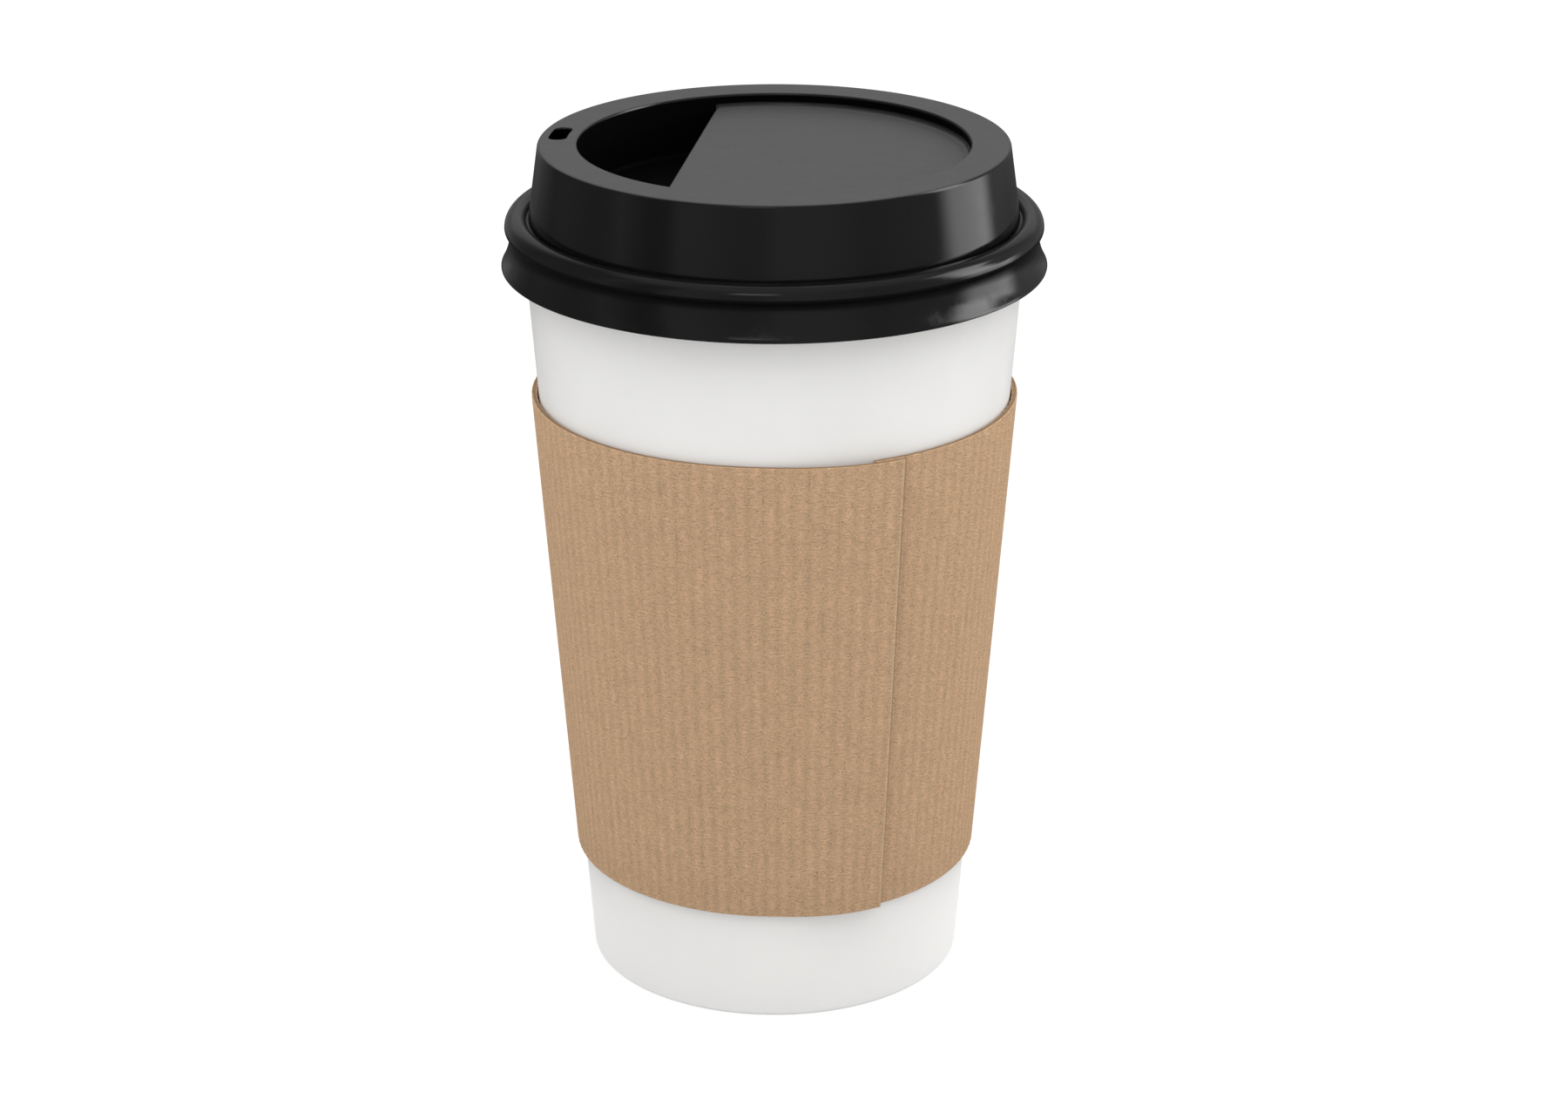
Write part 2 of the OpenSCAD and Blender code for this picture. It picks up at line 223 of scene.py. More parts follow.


# Brown board: horizontal fibres of two sizes, rougher between the ribs that show through,
# painted shade in the valleys of the ribs, soft clouds, specks, painted shade of short creases
# in the valleys of some ribs, paler fibres with a painted highlight along the flap's cut edge
# and a painted shadow line beside it on the layer underneath. The wrap's map counts ribs in
# both directions; the flap's edge lies at edgeTurn, the inner face from innerFrom up.
def kraftBoard(edgeTurn, innerFrom):
    material, tree, shader = startMaterial("kraftBoard")
    wrap = addNode(tree, "UVMap", uv_map="wrap").outputs[0]
    fibre = noiseOn(tree, wrap, (2.5, 6.5, 1), 4, 0.6)
    fineFibre = noiseOn(tree, wrap, (6.5, 14.0, 1), 3, 0.6, (3.1, 1.7, 0))
    grain = noiseOn(tree, wrap, (16.0, 18.0, 1), 2, 0.5, (7.7, 4.1, 0))
    cloud = noiseOn(tree, wrap, (0.5, 0.5, 1), 3, 0.5, (1.3, 9.2, 0))
    blotch = noiseOn(tree, wrap, (1.1, 1.5, 1), 2, 0.5, (6, 3, 0))
    patch = noiseOn(tree, wrap, (0.9, 0.35, 1), 2, 0.5, (5, 5, 0))
    turn, up = addNode(tree, "SeparateXYZ", {0: wrap}).outputs[:2]
    wave = mathNode(tree, "COSINE", mathNode(tree, "MULTIPLY", turn, 2 * math.pi))
    ribs = mathNode(tree, "MULTIPLY", wave, rampOf(tree, patch, 0.35, 0.65, 0.35, 1.0))
    tone = mixColour(tree, rampOf(tree, fibre, 0.30, 0.60), kraft["darkFibre"],
                     kraft["lightFibre"])
    tone = mixColour(tree, kraft["evenness"], tone, kraft["colour"])
    fine = mixColour(tree, rampOf(tree, fineFibre, 0.31, 0.60), kraft["darkFibre"],
                     kraft["lightFibre"])
    rougher = rampOf(tree, wave, -1.0, 1.0, kraft["fineInValley"], kraft["fineOnRib"])
    tone = mixColour(tree, rougher, tone, fine)
    # painted shade of the ribs: darker in their valleys, lighter on their crests, stronger in
    # patches
    shade = mathNode(tree, "MULTIPLY_ADD", ribs, kraft["ribShade"], 1.0)
    for blobs, spread in ((cloud, kraft["cloudShade"]), (blotch, kraft["blotchShade"]),
                          (grain, kraft["grainShade"])):
        shade = mathNode(tree, "MULTIPLY", shade,
                         rampOf(tree, blobs, 0.3, 0.7, 1 - spread, 1 + spread))
    # painted shade of short creases: dark lines in the valleys of some ribs
    creaseShadeMask = rampOf(tree, noiseOn(tree, wrap, (1.1, 0.5, 1), 2, 0.5, (9, 9, 0)), 0.55, 0.65)
    creaseShadeMask = mathNode(tree, "MULTIPLY", creaseShadeMask, rampOf(tree, wave, -1.0, -0.86, 1.0, 0.0))
    creaseShadeMask = mathNode(tree, "MULTIPLY", creaseShadeMask, rampOf(tree, fineFibre, 0.38, 0.55))
    shade = mathNode(tree, "MULTIPLY", shade,
                     rampOf(tree, creaseShadeMask, 0.0, 1.0, 1.0, 1 - kraft["creaseShade"]))
    tone = addNode(tree, "VectorMath", {0: tone, 1: shade}, operation="MULTIPLY").outputs[0]
    darkSpeck = noiseOn(tree, wrap, (5.0, 9.0, 1), 1, 0.4, (11, 2, 0))
    darkSpeck = rampOf(tree, darkSpeck, 0.70, 0.75, 0.0, kraft["darkSpeckShare"])
    tone = mixColour(tree, darkSpeck, tone, kraft["darkSpeck"])
    lightSpeck = noiseOn(tree, wrap, (7.0, 15.0, 1), 1, 0.4, (2, 13, 0))
    lightSpeck = rampOf(tree, lightSpeck, 0.72, 0.76, 0.0, kraft["lightSpeckShare"])
    tone = mixColour(tree, lightSpeck, tone, kraft["lightSpeck"])
    # paler fibres with a painted highlight along the flap's cut edge
    edgeFrom = edgeTurn - kraft["cutEdgeHighlightReach"]
    edgeHighlight = rampOf(tree, turn, edgeFrom, edgeFrom + 0.08, 0.0, kraft["cutEdgeHighlightShare"])
    tone = mixColour(tree, edgeHighlight, tone, kraft["cutEdgeHighlight"])
    # painted shadow: a dark line on the layer underneath, just past the flap's edge
    start, middle, end = kraft["paintedShadowLine"]
    paintedShadow = mathNode(tree, "MULTIPLY", rampOf(tree, turn, start, middle),
                      rampOf(tree, turn, middle, end, 1.0, 0.0))
    outside = rampOf(tree, up, innerFrom - 0.5, innerFrom, kraft["paintedShadowShare"], 0.0)
    paintedShadow = mathNode(tree, "MULTIPLY", paintedShadow, outside)
    tone = mixColour(tree, paintedShadow, tone, kraft["darkFibre"])
    height = mathNode(tree, "MULTIPLY_ADD", fineFibre, 0.55, fibre)
    height = mathNode(tree, "MULTIPLY_ADD", grain, 0.25, height)
    bump = addNode(tree, "Bump", {"Height": height, "Strength": kraft["bump"],
                                  "Distance": kraft["relief"]})
    feed(tree, shader, {"Base Color": tone, "Roughness": kraft["roughness"],
                        "Specular IOR Level": kraft["specular"], "Normal": bump.outputs[0]})
    return material


paper = {
    "colour": (0.802, 0.797, 0.782, 1),
    "shade": (0.782, 0.777, 0.764, 1),
    "roughness": 0.42,
    "specular": 0.35,
    "bump": 0.05,
}


# Coated white board: faint clouds in its tone, a silky gloss, a very low fibre relief
def coatedBoard():
    material, tree, shader = startMaterial("coatedBoard")
    place = addNode(tree, "TexCoord").outputs["Object"]
    cloud = noiseOn(tree, place, (90, 90, 60), 3, 0.55)
    fibre = noiseOn(tree, place, (900, 900, 1500), 3, 0.6, (4, 2, 1))
    tone = mixColour(tree, rampOf(tree, cloud, 0.3, 0.7), paper["shade"], paper["colour"])
    gloss = rampOf(tree, cloud, 0.3, 0.7, paper["roughness"] - 0.04, paper["roughness"] + 0.05)
    bump = addNode(tree, "Bump", {"Height": fibre, "Strength": paper["bump"], "Distance": 0.0002})
    feed(tree, shader, {"Base Color": tone, "Roughness": gloss,
                        "Specular IOR Level": paper["specular"], "Normal": bump.outputs[0]})
    return material


boardWhite = coatedBoard()
print("white board made")


cup = {
    "height": 135.8,
    "footRadius": 32.7,
    "brimRadius": 44.4,
    "curlRadius": 1.0,
    "curlTurn": 290,
    "board": 0.45,
    "footRound": 0.52,
    "seamMiddle": 97,
    "seamTurn": 10,
    "seamStep": 0.15,
    "baseRecess": 9.0,
    "baseBoard": 0.42,
    "baseRound": 0.9,
    "sealGap": 0.04,
    "foldClearance": 1.3,
}
curlHeight = cup["height"] - cup["curlRadius"]
lean = (cup["brimRadius"] - 2 * cup["curlRadius"] + cup["board"] - cup["footRadius"]) / curlHeight
leanAngle = math.degrees(math.atan(lean))


# Radius at a height of the cone that lies inset below the wall's outer face:
# foot radius plus lean times height, less the inset measured square to the wall
def wallRadius(height, inset):
    return cup["footRadius"] + lean * height - inset * math.sqrt(1 + lean * lean)


# Middle of the wall's board: up the fold, round the foot, up the wall and round the curl
def wallPath():
    board = cup["board"]
    footBend = cup["footRound"] - board / 2
    foldInset = board + cup["baseBoard"] + 2 * cup["sealGap"] + board / 2
    foldTop = cup["baseRecess"] - cup["baseBoard"] - cup["foldClearance"]
    bendHeight = board / 2 + footBend
    curlMiddle = cup["curlRadius"] - board / 2
    inner = (wallRadius(bendHeight, foldInset - footBend), bendHeight)
    outer = (wallRadius(bendHeight, board / 2 + footBend), bendHeight)
    curl = (wallRadius(curlHeight, board / 2 - curlMiddle), curlHeight)
    top = np.array([[wallRadius(foldTop, foldInset), foldTop]])
    rows = np.linspace(3, curlHeight - 3, 14)
    wall = np.column_stack([wallRadius(rows, board / 2), rows])
    start = 180 - leanAngle
    return joined([top, bend(inner, footBend, 180 - leanAngle, 270, 8),
                   bend(outer, footBend, 270, 360 - leanAngle, 8), wall,
                   bend(curl, curlMiddle, start, start - cup["curlTurn"], 40)])


# The lapped side seam stands out by its step at one side and fades over its turn to the
# other; it also fades out towards the foot and the brim
def seamRise(azimuth, height):
    along = (np.degrees(azimuth) - cup["seamMiddle"]) / cup["seamTurn"] + 0.5
    ends = within(height, 1.2, 2.5, cup["height"] - 4.8, 2.5)
    return cup["seamStep"] * within(along, 0, 0.9, 0.955, 0.045) * ends


# The wall's two faces lie half a board on each side of its middle; the closed section is
# turned about Z, with closer columns at the seam, and its outer face is raised there
def makeCupWall():
    path = wallPath()
    half = cup["board"] / 2
    inside, outside = beside(path, half), beside(path, -half)
    section = np.vstack([outside, inside[::-1], outside[:1]])
    seamStart = cup["seamMiddle"] - cup["seamTurn"] / 2
    seamEnd = cup["seamMiddle"] + cup["seamTurn"] / 2
    azimuth = np.radians(np.r_[np.linspace(0, seamStart, 92)[:-1],
                               np.linspace(seamStart, seamEnd - 0.6, 16)[:-1],
                               np.linspace(seamEnd - 0.6, seamEnd, 9)[:-1],
                               np.linspace(seamEnd, 360, 200)[:-1]])
    grid = turned(section, azimuth)
    isOuter = np.r_[np.ones(len(path)), np.zeros(len(path)), 1][:, None]
    rise = seamRise(azimuth, section[:, 1][:, None]) * isOuter
    grid[..., 0] += rise * np.cos(azimuth)
    grid[..., 1] += rise * np.sin(azimuth)
    piece = weldedPiece("cupWall", [(grid, True, None)], boardWhite, "cup", 60)
    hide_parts("cup_wall")


# Middle of the bottom's board: out along the floor and down its skirt; its two faces lie
# half a board on each side, and the section is turned about Z
def makeCupBase():
    board, gap = cup["baseBoard"], cup["sealGap"]
    inset = cup["board"] + gap + board / 2
    bendRadius = cup["baseRound"] - board / 2
    floorMiddle = cup["baseRecess"] - board / 2
    bendHeight = floorMiddle - bendRadius
    skirtEnd = cup["board"] + gap
    reach = wallRadius(bendHeight, inset + bendRadius)
    floor = np.column_stack([np.linspace(0, reach - 0.1, 9), np.full(9, floorMiddle)])
    path = joined([floor, bend((reach, bendHeight), bendRadius, 90, -leanAngle, 8),
                   np.array([[wallRadius(skirtEnd, inset), skirtEnd]])])
    section = np.vstack([beside(path, board / 2), beside(path, -board / 2)[::-1]])
    section[np.abs(section[:, 0]) < 0.01, 0] = 0
    azimuth = np.radians(np.linspace(0, 360, 193)[:-1])
    piece = weldedPiece("cupBottom", [(turned(section, azimuth), True, None)],
                        boardWhite, "cup", 50)
    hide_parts("cup_base")


makeCupWall()
makeCupBase()


sleeve = {
    "bottom": 20.6,
    "height": 84.0,
    "board": 1.0,
    "gap": 0.25,
    "ribs": 104,
    "ribHeight": 0.05,
    "grooveDepth": 0.1,
    "flapAzimuth": -53.0,
    "overlap": 6.5,
    "ramp": 28.0,
    "glue": 0.08,
    "lift": 0.12,
    "flapRound": 0.2,
    "edgeRound": 0.16,
    "flapRadius": 38.0,  # of the wrap at its two ends
    "mapRadius": 38.7,  # where the map's unit is one rib along and up
    "mapShift": 40,  # the inner face lies this far up the map
    "mapInner": 46.5,  # and the outer one ends below this
}


# The wrap is a spiral: its radius is the cup's cone plus gap and board, plus an eased
# climb of one board and the glue onto the first end, plus a lift that grows as the square
# of the way past that end
def wrapLift(turn):
    climb = eased((turn - 360 + sleeve["ramp"]) / sleeve["ramp"])
    past = np.maximum(turn - 360, 0) / sleeve["overlap"]
    return (sleeve["board"] + sleeve["glue"]) * climb + sleeve["lift"] * past ** 2


# Section of the board, once round from the foot of its outer face. For each row: its height,
# the share of the thickness at which it lies, from the outer face to the inner one, and how
# far a rounded corner draws it in from there
def boardRows(low, high, radius):
    quarter = np.radians(np.linspace(0, 90, 5))
    climb, drawn = radius * np.sin(quarter), radius * (1 - np.cos(quarter))
    up = np.linspace(low + radius, high - radius, 9)
    height = np.r_[up, up[-1] + climb[1:], high, high, up[-1] + climb[::-1], up[-2::-1],
                   up[0] - climb[1:], low, low, up[0] - climb[::-1]]
    inFrom = np.r_[0 * up, drawn[1:], 0, 0, -drawn[::-1], 0 * up[1:],
                   -drawn[1:], 0, 0, drawn[::-1]]
    corner = len(quarter)
    face = np.r_[np.zeros(len(up) + corner - 1), 0.3, 0.7,
                 np.ones(len(up) + 2 * corner - 2), 0.7, 0.3, np.zeros(corner)]
    return height, face, inFrom


# The section carried along the wrap: radius is the cone's plus the wrap's lift, less the
# depth of the row in the board; ribs wave the outer face, grooves the inner one, by a
# cosine of the turn, and the board's two ends are rounded
def makeSleeve():
    turns = 360 + sleeve["overlap"]
    endRound = np.degrees(sleeve["flapRound"] / sleeve["flapRadius"])
    fine = endRound * np.array([0, 0.1, 0.3, 0.6, 1.0, 1.6])
    even = np.linspace(0, turns, int(sleeve["ribs"] * turns / 360 * 7))
    even = even[(even > 2 * fine[-1]) & (even < turns - 2 * fine[-1])]
    turn = np.r_[fine, even, (turns - fine)[::-1]]
    height, face, inFrom = boardRows(sleeve["bottom"], sleeve["bottom"] + sleeve["height"],
                                     sleeve["edgeRound"])
    wave = (1 - np.cos(np.radians(turn * sleeve["ribs"]))) / 2
    fromEnd = np.minimum(turn, turns - turn) / endRound
    corner = 1 - np.sqrt(1 - (1 - np.clip(fromEnd, 0, 1)) ** 2)
    outer = sleeve["ribHeight"] * wave + sleeve["flapRound"] * corner
    inner = sleeve["board"] - sleeve["grooveDepth"] * wave - sleeve["flapRound"] * corner
    depth = (outer + (inner - outer) * face[:, None]) + inFrom[:, None]
    base = wallRadius(height, -sleeve["gap"] - sleeve["board"])[:, None]
    reach = base - depth * math.sqrt(1 + lean * lean) + wrapLift(turn)
    azimuth = np.radians(sleeve["flapAzimuth"] - sleeve["overlap"] + turn)
    grid = np.stack([reach * np.cos(azimuth), reach * np.sin(azimuth),
                     height[:, None] + 0 * azimuth], -1)
    grid = np.concatenate([grid, grid[:1]])
    pitch = 2 * math.pi * sleeve["mapRadius"] / sleeve["ribs"]
    along = turn * sleeve["ribs"] / 360
    upward = height / pitch + face * sleeve["mapShift"]
    uvs = np.stack(np.meshgrid(along, np.r_[upward, upward[0]]), -1).reshape(-1, 2)
    firstEnd = [i * len(turn) for i in range(len(height))]
    lastEnd = [i + len(turn) - 1 for i in firstEnd][::-1]
    boardBrown = kraftBoard(along[-1], sleeve["mapInner"])
    piece = weldedPiece("sleeveWrap", [(grid, False, None)], boardBrown, "cup", 50, uvs,
                        (firstEnd, lastEnd))
    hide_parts("sleeve")


makeSleeve()


lid = {
    "rise": 12.35,
    "skirtDrop": 8.5,
    "sheet": 0.4,
    "seatGap": 0.1,
    "waistGap": 0.08,
    "beadStand": 0.82,
    "skirtFlare": 1.52,
    "draft": 8.0,
    "domeRound": 0.7,
    "grooveRound": 0.15,
    "grooveSide": 165,
    "tuckRound": 0.65,
    "tuckTurn": 50,
    "waistRound": 0.35,
    "ringWidth": 6.1,
    "stageDepth": 2.5,
    "wellDepth": 10.3,
    "wellOffset": 14.5,
    "recessDraft": 2.0,
    "rimRound": 0.5,
    "floorRound": 0.9,
    "sipInset": 1.95,
    "sipLength": 8.3,
    "sipWidth": 3.1,
    "sipRound": 1.4,
    "sipEdge": 0.08,
    "ventRadius": 0.4,
    "ventInset": 5.1,
    "ventEdge": 0.05,
    "ventAzimuth": 225.0,
    "pressedTurn": -0.6,
}
lidTop = cup["height"] + lid["rise"]
lidBottom = cup["height"] - lid["skirtDrop"]
brimCentre = np.array([cup["brimRadius"] - cup["curlRadius"], curlHeight])
seatRound = cup["curlRadius"] + lid["seatGap"] + lid["sheet"]
waistRadius = cup["brimRadius"] + lid["waistGap"] + lid["sheet"]
beadRadius = waistRadius + lid["beadStand"]


# Point of a circle: centre plus radius times (cos, sin)
def onCircle(centre, radius, angle):
    return np.array(centre) + radius * np.array([math.cos(math.radians(angle)),
                                                 math.sin(math.radians(angle))])


groove = onCircle(brimCentre, seatRound + lid["grooveRound"], lid["grooveSide"])
domeFoot = onCircle(groove, lid["grooveRound"], 180 + lid["draft"])
edgeHeight = lidTop - lid["domeRound"]
slope = math.radians(lid["draft"])
edgeClimb = (edgeHeight - domeFoot[1]) * math.sin(slope)
edgeRadius = domeFoot[0] - (lid["domeRound"] + edgeClimb) / math.cos(slope)
recessRadius = edgeRadius - lid["ringWidth"]

# Columns round the lid, closer at the well's two corners and at the sip hole
sipStart, sipEnd = 171, 189
lidTurns = [(0, 114, 76), (114, 120, 40), (120, sipStart, 34), (sipStart, sipEnd, 36),
            (sipEnd, 240, 34), (240, 246, 40), (246, 360, 76)]
lidDegrees = np.concatenate([np.linspace(a, b, n + 1)[:-1] for a, b, n in lidTurns])
lidAzimuth = np.radians(lidDegrees)


# Lengths are in millimetres, from the features of the lid that the finish follows
plastic = {
    "colour": (0.0035, 0.0035, 0.0037, 1),
    "roughness": 0.10,
    "smudge": 0.05,
    "waviness": 0.035,
    "skirtBelow": 4.6,  # under the cup's height
    "skirtSmudge": 0.22,
    "skirtScuff": 0.7,
    "topSheenColour": (0.049, 0.049, 0.0495, 1),
    "topSheenFleck": (0.06, 0.06, 0.06, 1),
    "topRoughness": 0.48,
    "satinBelow": 3.55,  # under the lid's top
    "satinPast": 0.02,  # outside the sip hole
    "footRise": 0.1,  # over the stage
    "footSatinSheen": 0.45,
    "wallSatinSheen": 0.02,
    "cutPast": 0.47,  # outside the recess
    "cutSatinSheen": 0.5,
    "softEdge": 0.6,
    "recessShadeColour": (0.0010, 0.0010, 0.0011, 1),
    "deepRoughness": 0.62,
    "recessShadeSpecular": 0.04,
    "deepUnder": 0.6,  # under the stage
    "deepOver": 0.8,  # over the stage
}


# Black formed sheet: glossy on its sides, with handled patches that are duller, fine scuffs
# and a slow waviness that bends what it mirrors; the ring and the stage have a satin grain
# and a painted sheen, a lighter colour than the sides, which both run on into the foot of the
# stage's wall and the cut edge of the sip hole
def formedPlastic():
    material, tree, shader = startMaterial("formedPlastic")
    place = addNode(tree, "TexCoord").outputs["Object"]
    x, y, level = addNode(tree, "SeparateXYZ", {0: place}).outputs
    plan = addNode(tree, "CombineXYZ", {0: x, 1: y}).outputs[0]
    reach = addNode(tree, "VectorMath", {0: plan}, operation="LENGTH").outputs["Value"]
    smudge = noiseOn(tree, place, (210, 210, 190), 5, 0.62, (0.3, 0.1, 0.2))
    haze = noiseOn(tree, place, (420, 420, 420), 4, 0.6, (5, 3, 2))
    slow = noiseOn(tree, place, (70, 70, 60), 2, 0.5, (8, 1, 4))
    fine = noiseOn(tree, place, (700, 700, 700), 2, 0.5, (1, 6, 3))
    mottle = noiseOn(tree, place, (260, 260, 260), 4, 0.6, (2, 9, 5))
    soft = plastic["softEdge"] * mm
    skirtFrom = (cup["height"] - plastic["skirtBelow"]) * mm
    topFrom = (lidTop - plastic["satinBelow"]) * mm
    stageFoot = (lidTop - lid["stageDepth"] + plastic["footRise"]) * mm
    cutFrom = (recessRadius + plastic["cutPast"]) * mm
    satinReach = (recessRadius + lid["sipInset"] + lid["sipWidth"] + plastic["satinPast"]) * mm
    dull = mathNode(tree, "MULTIPLY", rampOf(tree, smudge, 0.5, 0.68), rampOf(tree, haze, 0.3, 0.6))
    handled = rampOf(tree, level, skirtFrom - soft, skirtFrom, plastic["skirtSmudge"],
                     plastic["smudge"])
    gloss = mathNode(tree, "MULTIPLY_ADD", dull, handled, plastic["roughness"])
    gloss = mathNode(tree, "ADD", gloss, rampOf(tree, haze, 0.35, 0.65, -0.02, 0.03))
    facing = addNode(tree, "SeparateXYZ", {0: addNode(tree, "TexCoord").outputs["Normal"]})
    upward = rampOf(tree, facing.outputs[2], 0.62, 0.92)
    high = rampOf(tree, level, topFrom, topFrom + soft)
    foot = rampOf(tree, level, stageFoot, stageFoot + soft, plastic["footSatinSheen"],
                  plastic["wallSatinSheen"])
    cut = rampOf(tree, reach, cutFrom, cutFrom + 0.4 * mm, 0.0, plastic["cutSatinSheen"])
    side = mathNode(tree, "MULTIPLY", mathNode(tree, "MAXIMUM", foot, cut),
                    rampOf(tree, reach, satinReach - 0.2 * mm, satinReach, 1.0, 0.0))
    # painted sheen: the satin faces, mostly those facing up, get a lighter colour than the glossy
    # sides
    top = mathNode(tree, "MULTIPLY", mathNode(tree, "MAXIMUM", upward, side), high)
    sheenTone = mixColour(tree, rampOf(tree, mottle, 0.3, 0.7, 0.0, 0.14), plastic["topSheenColour"],
                        plastic["topSheenFleck"])
    tone = mixColour(tree, top, plastic["colour"], sheenTone)
    topGloss = rampOf(tree, smudge, 0.35, 0.65, plastic["topRoughness"] - 0.03,
                      plastic["topRoughness"] + 0.05)
    gloss = addNode(tree, "Mix", {0: top, 2: gloss, 3: topGloss}).outputs[0]
    scuffed = rampOf(tree, level, skirtFrom - soft, skirtFrom, plastic["skirtScuff"], 0.0)
    height = mathNode(tree, "MULTIPLY_ADD", fine, 0.012, slow)
    height = mathNode(tree, "MULTIPLY_ADD", smudge, scuffed, height)
    bump = addNode(tree, "Bump", {"Height": height, "Strength": plastic["waviness"],
                                  "Distance": 0.0012})
    feed(tree, shader, {"Base Color": tone, "Roughness": gloss, "IOR": 1.5,
                        "Normal": bump.outputs[0]})
    return material


# The same sheet where it is drawn deep, in the recess, with painted shade: a darker colour and a
# weaker mirror; matt, with a fine grain
def recessShadePlastic():
    material, tree, shader = startMaterial("recessShadePlastic")
    place = addNode(tree, "TexCoord").outputs["Object"]
    grain = noiseOn(tree, place, (600, 600, 350), 3, 0.6, (2, 7, 1))
    gloss = rampOf(tree, grain, 0.3, 0.7, plastic["deepRoughness"] - 0.06,
                   plastic["deepRoughness"] + 0.06)
    bump = addNode(tree, "Bump", {"Height": grain, "Strength": 0.1, "Distance": 0.0002})
    feed(tree, shader, {"Base Color": plastic["recessShadeColour"], "Roughness": gloss,
                        "Specular IOR Level": plastic["recessShadeSpecular"],
                        "Normal": bump.outputs[0]})
    return material


sheetBlack = formedPlastic()
sheetRecessShade = recessShadePlastic()
print("black sheet made")


# Outer face of the lid: over the dome's edge, down its side to the groove, round the
# bead, in at the waist and down the flared skirt
def lidPath():
    crest = brimCentre[1] + seatRound
    beadRound = beadRadius - brimCentre[0]
    beadHeight = crest - beadRound
    tuckTurn = math.radians(lid["tuckTurn"])
    tuck = (beadRadius - lid["tuckRound"], beadHeight)
    tuckEnd = onCircle(tuck, lid["tuckRound"], -lid["tuckTurn"])
    tuckReach = tuckEnd[0] - waistRadius - lid["waistRound"] * (1 - math.cos(tuckTurn))
    tuckDrop = tuckReach / math.tan(tuckTurn) + lid["waistRound"] * math.sin(tuckTurn)
    waist = (waistRadius + lid["waistRound"], tuckEnd[1] - tuckDrop)
    flareDrop = waist[1] - lidBottom
    flare = lid["skirtFlare"]
    flareRound = (flareDrop ** 2 + flare ** 2) / (2 * flare)
    flareTurn = math.degrees(math.asin(flareDrop / flareRound))
    trim = math.degrees(0.15 * lid["sheet"] / flareRound)
    return joined([
        bend((edgeRadius, edgeHeight), lid["domeRound"], 90, lid["draft"], 10),
        bend(groove, lid["grooveRound"], 180 + lid["draft"], 180 + lid["grooveSide"], 8),
        bend(brimCentre, seatRound, lid["grooveSide"], 90, 9),
        bend((brimCentre[0], beadHeight), beadRound, 90, 0, 20),
        bend(tuck, lid["tuckRound"], 0, -lid["tuckTurn"], 7),
        bend(waist, lid["waistRound"], 180 - lid["tuckTurn"], 180, 6),
        bend((waistRadius + flareRound, waist[1]), flareRound, 180, 180 + flareTurn - trim, 10)])


# Section of a pocket from its floor out over its edge, grown by the sheet where asked:
# floor, fillet, drafted wall, rounded rim
def pocketSection(edge, faceHeight, floorHeight, grow):
    draft = math.radians(lid["recessDraft"])
    rimX = edge - lid["rimRound"] * math.tan(draft) + lid["rimRound"] / math.cos(draft)
    bendHeight = floorHeight + lid["floorRound"]
    foot = edge - (faceHeight - bendHeight) * math.tan(draft)
    bendX = foot - lid["floorRound"] / math.cos(draft)
    return joined([
        bend((bendX, bendHeight), lid["floorRound"] + grow, -90, -lid["recessDraft"], 7),
        bend((rimX, faceHeight - lid["rimRound"]), lid["rimRound"] - grow,
             180 - lid["recessDraft"], 90, 6)])


# The recess as a height over the plan. Its rows go out from the middle: flat stage, the
# well's straight side, the well's floor, the round walls of stage and well. Rows that have
# no place at an azimuth fold up on the foot of the round wall. Each height is the lower of
# the round stage and the well, the well being the higher of its straight side and its wall.
def recessGrid(azimuth, grow):
    stageHeight, wellHeight = lidTop - lid["stageDepth"], lidTop - lid["wellDepth"]
    stage = pocketSection(recessRadius, lidTop, stageHeight, grow)
    well = pocketSection(recessRadius, lidTop, wellHeight, grow)
    side = pocketSection(-lid["wellOffset"], stageHeight, wellHeight, grow)
    walls = np.unique(np.round(np.r_[well[:, 0], stage[:, 0]], 4))
    cosine = np.cos(azimuth)
    safe = np.where(cosine < -0.05, cosine, -0.05)
    chord = np.where(cosine < -0.05, side[::-1, 0][:, None] / safe, 1e3)
    chord = np.minimum(chord, walls[0])
    flatRows = np.r_[np.linspace(0, 0.985, 8), 1] * (walls[0] - 0.08)
    flat = np.minimum(flatRows[:, None], chord[0])
    share = np.r_[0.01, np.linspace(0.1, 0.9, 7), 0.99][:, None]
    floor = chord[-1] + (walls[0] - chord[-1]) * share
    radius = np.concatenate([flat, chord, floor, walls[:, None] + 0 * azimuth])
    x = radius * cosine
    heightStage = np.interp(radius, stage[:, 0], stage[:, 1])
    heightWell = np.interp(radius, well[:, 0], well[:, 1])
    heightSide = np.interp(x, side[:, 0], side[:, 1])
    beyond = x > side[-1, 0] + 1e-9
    height = np.where(beyond, heightStage,
                      np.minimum(heightStage, np.maximum(heightSide, heightWell)))
    grid = np.stack([x, radius * np.sin(azimuth), height], -1)
    return grid, len(flat) + len(chord), radius


# Rings that fill a block of a grid round a hole: border times (1 - s) plus outline times s,
# the steps of s getting a little smaller towards the hole
def punched(grid, block, outline, rings):
    border = borderOf(grid, block)
    share = np.linspace(0, 1, rings + 1)[:, None, None] ** 0.8
    inner = np.concatenate([outline, np.broadcast_to(border[:1, 2:], (len(outline), 1))], 1)
    return border * (1 - share) + inner * share


# Points on the border of a block of the grid, once round
def borderOf(grid, block):
    r0, r1, c0, c1 = block
    return np.concatenate([grid[r0, c0:c1], grid[r0:r1, c1], grid[r1, c1:c0:-1],
                           grid[r1:r0:-1, c0]])


